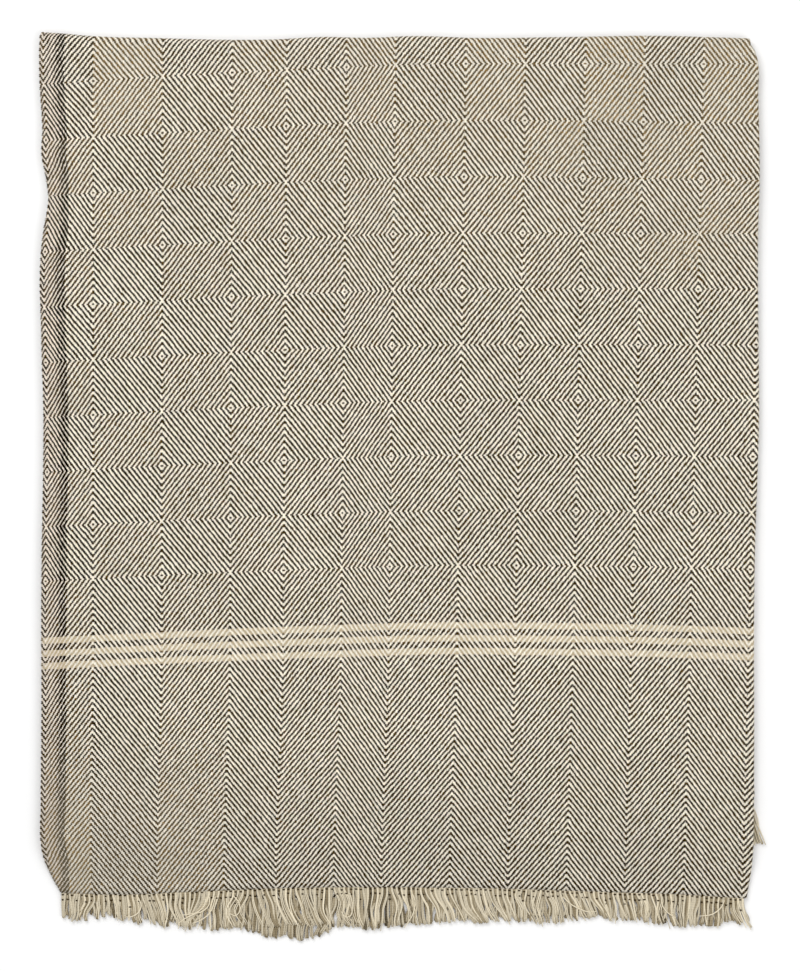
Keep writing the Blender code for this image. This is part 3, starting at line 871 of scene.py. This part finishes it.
class YarnBundle:
    """Collects yarns as tubes of one mesh."""

    def __init__(self):
        self.vertices, self.faces, self.shades, self.around, self.length = [], [], [], [], []

    def add(self, path, radii, shade, across=(0.0, 0.0, 1.0)):
        """A closed tube along a path of points, all of them across one direction."""
        path = np.asarray(path)
        forward = np.gradient(path, axis=0)
        forward /= np.linalg.norm(forward, axis=1, keepdims=True)
        side = np.cross(forward, across)
        side /= np.maximum(np.linalg.norm(side, axis=1, keepdims=True), 1e-6)
        up = np.cross(side, forward)
        first = len(self.vertices)
        run = np.concatenate([[0.0], np.cumsum(np.linalg.norm(np.diff(path, axis=0), axis=1))])
        for step, radius in enumerate(radii):
            for number in range(YARN_SIDES):
                angle = math.tau * number / YARN_SIDES
                around = math.cos(angle) * side[step] + math.sin(angle) * up[step]
                self.vertices.append(path[step] + radius * around)
                self.around.append(number / YARN_SIDES)
                self.length.append(run[step])
                self.shades.append(shade)
        for step in range(len(radii) - 1):
            base = first + step * YARN_SIDES
            for number in range(YARN_SIDES):
                following = (number + 1) % YARN_SIDES
                self.faces.append((base + number, base + YARN_SIDES + number,
                                   base + YARN_SIDES + following, base + following))
        last = first + (len(radii) - 1) * YARN_SIDES
        self.faces.append(tuple(first + number for number in range(YARN_SIDES)))
        self.faces.append(tuple(last + number for number in reversed(range(YARN_SIDES))))

    def piece(self, name):
        """The bundle as one mesh piece."""
        made = new_mesh_piece(name, self.vertices, self.faces)
        lay_map(made, "turns", np.array(self.around), np.array(self.length))
        attribute = made.data.attributes.new("shade", "FLOAT", "POINT")
        attribute.data.foreach_set("value", self.shades)
        return made


def yarn_radii(radius, tip):
    """A yarn's radius along its length, thinner or frayed wider over its last part."""
    return [radius * (1 + (tip - 1) * max(0, 2 * step / YARN_STEPS - 1)) for step in range(YARN_STEPS + 1)]


def parting_shadow(across):
    """How much painted shadow darkens the fringe's lower yarns at a share of the width, from 0 to 1."""
    return max(math.exp(-((across - middle) / PARTING_REACH) ** 2) for middle in PARTINGS)


def hang_at(hang, across):
    """Reach, lean, bow and gathering at a share of the width, straight between the table's rows."""
    places = [row.across for row in hang]
    return [float(np.interp(across, places, [getattr(row, name) for row in hang]))
            for name in ("reach", "lean", "bow", "gather")]


def grow_fringe(bundle, roots, hang, draw, resting, layer_painted_shade, fullness=1.0):
    """Yarns out of one layer's end. They leave the weave in pairs, every other pair lies higher, and
    the pairs lean and wave together in loose groups. Roots are points along the end, one for each yarn.
    Fuller yarns are frayed at their tips. The higher pairs carry painted light; painted shade darkens the
    lower pairs, more so where the fringe parts, and a whole layer that lies beneath."""
    total = len(roots)
    group_end = 0
    for pair in range(total // PAIR):
        first = pair * PAIR
        if first >= group_end:
            size = draw.randint(*GROUP_SIZES)
            group_middle, group_end = first + size / 2, first + size
            group_lean, group_reach = draw.gauss(0, GROUP_LEAN), draw.gauss(0, GROUP_REACH)
            group_curl, group_start = draw.gauss(0, GROUP_CURL), draw.uniform(0, math.tau)
        raised = pair % 2
        reach, lean, bow, gather = hang_at(hang, first / (total - 1))
        from_middle = (first + 0.5 - group_middle) * SPACING
        pair_lean = lean + group_lean + draw.gauss(0, PAIR_LEAN) - gather * GATHERING * from_middle
        pair_bow = bow + draw.gauss(0, PAIR_BOW)
        curl, curl_start = draw.gauss(0, PAIR_CURL), draw.uniform(0, math.tau)
        # Painted light on the raised pairs, painted shade on the under ones and on a layer that lies beneath
        shade = layer_painted_shade * draw.uniform(*(RAISED_PAINTED_LIGHTS if raised else UNDER_PAINTED_SHADES))
        lift = draw.uniform(*(RAISED_LIFTS if raised else UNDER_LIFTS))
        if raised:
            radii = yarn_radii(YARN_RADIUS * fullness, YARN_TIP if fullness == 1.0 else FRAYED_TIP)
        else:
            # Painted shadow where the fringe parts
            shade *= 1 - PARTING_SHADOW * parting_shadow(first / (total - 1))
            radii = yarn_radii(UNDER_RADIUS * fullness, FRAYED_TIP)
        middle_x = (roots[first][0] + roots[first + 1][0]) / 2
        for member in range(PAIR):
            root = roots[first + member]
            own_reach = reach + group_reach + draw.gauss(0, RAISED_REACH if raised else UNDER_REACH)
            splay = draw.gauss(0, SPLAY)
            path = []
            for step in range(YARN_STEPS + 1):
                fallen = own_reach * step / YARN_STEPS
                loose = max(fallen - STRAIGHT_RUN, 0) / own_reach
                x = middle_x + (member - 0.5) * PAIR_PITCH + pair_lean * loose ** LEAN_POWER + splay * loose
                x += pair_bow * math.sin(math.pi * loose)
                x += curl * loose * math.sin(CURL_TURN * loose + curl_start)
                x += group_curl * math.sin(math.pi * loose) * math.sin(CURL_TURN * loose + group_start)
                settled = float(ease((fallen - SETTLE_FROM) / SETTLE_RUN))
                z = root[2] + (resting + lift + max(radii) - root[2]) * settled
                path.append((x, root[1] + ROOT_REACH - fallen, z))
            bundle.add(path, radii, shade * draw.uniform(*YARN_SHADES))


def add_loose_weft(bundle, roots, draw):
    """Short dark bits of weft over every other pair of yarns, in three thinning rows past the hem."""
    for back, chance in WEFT_BITS:
        for first in range(0, len(roots) - PAIR, 2 * PAIR):
            if draw.random() > chance:
                continue
            middle = (roots[first] + roots[first + 1]) / 2
            x = middle[0] + draw.gauss(0, BIT_SHIFTS[0])
            y = middle[1] - back + draw.gauss(0, BIT_SHIFTS[1])
            z = middle[2] + BIT_HEIGHT - back * 0.08
            reach = draw.uniform(*BIT_REACHES)
            path = [(x - reach, y, z - BIT_DROP), (x - reach * 0.5, y, z), (x + reach * 0.5, y, z),
                    (x + reach, y, z - BIT_DROP)]
            bundle.add(path, BIT_RADII, WEFT_SHADE)


def add_strays(bundle, draw):
    """Yarns that lie across the others, along their own points."""
    at = np.linspace(0, 1, YARN_STEPS + 1)
    for points in STRAYS:
        share = np.linspace(0, 1, len(points))
        x, y = (along(tuple(zip(share, places)), at) for places in zip(*points))
        z = STRAY_HEIGHT + STRAY_ARCH * np.sin(math.pi * np.minimum(at * 1.2, 1.0))
        path = np.stack([x, y, z], axis=1)
        bundle.add(path, yarn_radii(YARN_RADIUS, YARN_TIP), draw.uniform(*STRAY_PAINTED_LIGHTS))


def end_roots(points, count, inner):
    """Points along a layer's end of the sheet, one for each yarn."""
    outer = OUTER_COLUMNS + 1
    line = points[:outer] if not inner else points[outer + ARC_STEPS - 1:][::-1]
    share = np.linspace(0, 1, len(line))
    at = (np.arange(count) + 0.5) / count
    return np.stack([np.interp(at, share, line[:, axis]) for axis in range(3)], axis=1)


def make_upper_fringe(points, draw):
    """The upper end's fringe, which shows: its loose picks and stray yarns too."""
    bundle = YarnBundle()
    inner = end_roots(points, MIDDLE_END, True)
    grow_fringe(bundle, inner, INNER_HANG, draw, 0.0, INNER_PAINTED_SHADE, INNER_FULLNESS)
    outer = end_roots(points, MIDDLE_END, False)
    grow_fringe(bundle, outer, OUTER_HANG, draw, OUTER_REST, 1.0)
    add_loose_weft(bundle, outer, draw)
    add_strays(bundle, draw)
    return bundle.piece("upper_fringe_yarns")


def make_lower_fringe(points, draw):
    """The other end's fringe, which lies under the upper half."""
    bundle = YarnBundle()
    grow_fringe(bundle, end_roots(points, MIDDLE_END, False), LOWER_HANG, draw, 0.0, 1.0)
    grow_fringe(bundle, end_roots(points, MIDDLE_END, True), LOWER_HANG, draw, OUTER_REST, 1.0)
    return bundle.piece("lower_fringe_yarns")


# The weft's turns around the selvedges, at two neighbouring picks of every four
TURN_PICKS = 4
TURN_PAIR = (0, 1)
TURN_INSET = 0.0014
TURN_REACH = 0.0018
TURN_RISE = 0.00045
TURN_RUN = 0.0006
TURN_STEPS = 6
TURN_RADIUS = 0.0005
LEAST_TURN = 0.8


def add_turns(bundle, edge, inside, picks, draw):
    """Turns of weft along one selvedge, from its points, the points beside them and their picks."""
    order = np.argsort(picks)
    turning = [first + beside for first in range(1, 2 * MIDDLE_PICK, TURN_PICKS) for beside in TURN_PAIR]
    for pick in turning:
        at, near, before, after = (
            np.array([np.interp(count, picks[order], line[order, axis]) for axis in range(3)])
            for line, count in ((edge, pick), (inside, pick), (edge, pick - 1), (edge, pick + 1)))
        inward = (near - at) / np.linalg.norm(near - at)
        tangent = (after - before) / np.linalg.norm(after - before)
        up = np.cross(inward, tangent)
        size = draw.uniform(LEAST_TURN, 1.0)
        path = []
        for step in range(TURN_STEPS + 1):
            angle = math.pi * (step / TURN_STEPS - 0.5)
            path.append(at + inward * (TURN_INSET - TURN_REACH * size * math.cos(angle))
                        + up * TURN_RISE * math.sin(angle) + tangent * TURN_RUN * size * angle / math.pi)
        bundle.add(path, [TURN_RADIUS * size] * (TURN_STEPS + 1), WEFT_SHADE, tangent)


def make_turns(points, picks, draw):
    """The weft's turns along both selvedges."""
    bundle = YarnBundle()
    add_turns(bundle, points[:, 0], points[:, 1], picks[:, 0], draw)
    add_turns(bundle, points[:, -1], points[:, -2], picks[:, -1], draw)
    return bundle.piece("weft_turns")


FLOOR_SIZE = 12.0
FLOOR_HEIGHT = -0.0002


def make_floor():
    """Plain pale floor."""
    bpy.ops.mesh.primitive_plane_add(size=FLOOR_SIZE, location=(0, 0, FLOOR_HEIGHT))
    floor = bpy.context.object
    floor.name = "floor"
    nodes = Nodes("plain_floor")
    nodes.shader.inputs["Base Color"].default_value = (*FLOOR_WHITE, 1.0)
    nodes.shader.inputs["Roughness"].default_value = 0.9
    nodes.shader.inputs["Specular IOR Level"].default_value = 0.1
    floor.data.materials.append(nodes.material)


# The world's even light, and the soft square lights: name, place, size and power
WORLD_STRENGTH = 0.66
LIGHTS = (("key", (-0.8, 1.5, 2.4), 1.6, 38), ("fill", (1.4, -1.2, 2.4), 2.2, 22))


def make_light(name, place, size, power):
    """A soft square light that faces the blanket."""
    data = bpy.data.lights.new(name, "AREA")
    data.size = size
    data.energy = power
    light = bpy.data.objects.new(name, data)
    light.location = place
    direction = -light.location
    light.rotation_mode = "QUATERNION"
    light.rotation_quaternion = direction.to_track_quat("-Z", "Y")
    bpy.context.scene.collection.objects.link(light)


def make_world():
    """Even light from all around."""
    world = bpy.data.worlds.new("studio")
    world.use_nodes = True
    background = world.node_tree.nodes["Background"]
    background.inputs["Color"].default_value = (1.0, 1.0, 1.0, 1.0)
    background.inputs["Strength"].default_value = WORLD_STRENGTH
    bpy.context.scene.world = world


# The camera looks straight down through a long lens
IMAGE_HEIGHT = 0.8622
IMAGE_CENTRE = (0.0004, -0.0189)
CLOTH_HEIGHT = 0.011
LENS = 120
SENSOR = 36


def make_camera():
    """The photograph's view."""
    data = bpy.data.cameras.new("camera")
    data.lens = LENS
    data.sensor_width = SENSOR
    camera = bpy.data.objects.new("camera", data)
    camera.location = (*IMAGE_CENTRE, CLOTH_HEIGHT + IMAGE_HEIGHT * LENS / SENSOR)
    bpy.context.scene.collection.objects.link(camera)
    bpy.context.scene.camera = camera


make_camera()
make_world()
for light in LIGHTS:
    make_light(*light)
make_floor()
bpy.context.scene.view_settings.view_transform = "Standard"

cloth_points, cloth_ends, cloth_picks = fold_sheet()
cloth = make_cloth(cloth_points, cloth_ends, cloth_picks)
cloth.data.materials.append(weave_material())
draw = random.Random(SEED)
upper = make_upper_fringe(cloth_points[-1], draw)
lower = make_lower_fringe(cloth_points[0], draw)
turns = make_turns(cloth_points, cloth_picks, draw)
yarn = fringe_material()
turns.data.materials.append(yarn)
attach(turns, "root")
for fringe, node in ((upper, "fringe_upper"), (lower, "fringe_lower")):
    fringe.data.materials.append(yarn)
    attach(fringe, "root")
    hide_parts(node)
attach(cloth, "root")
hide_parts("blanket")
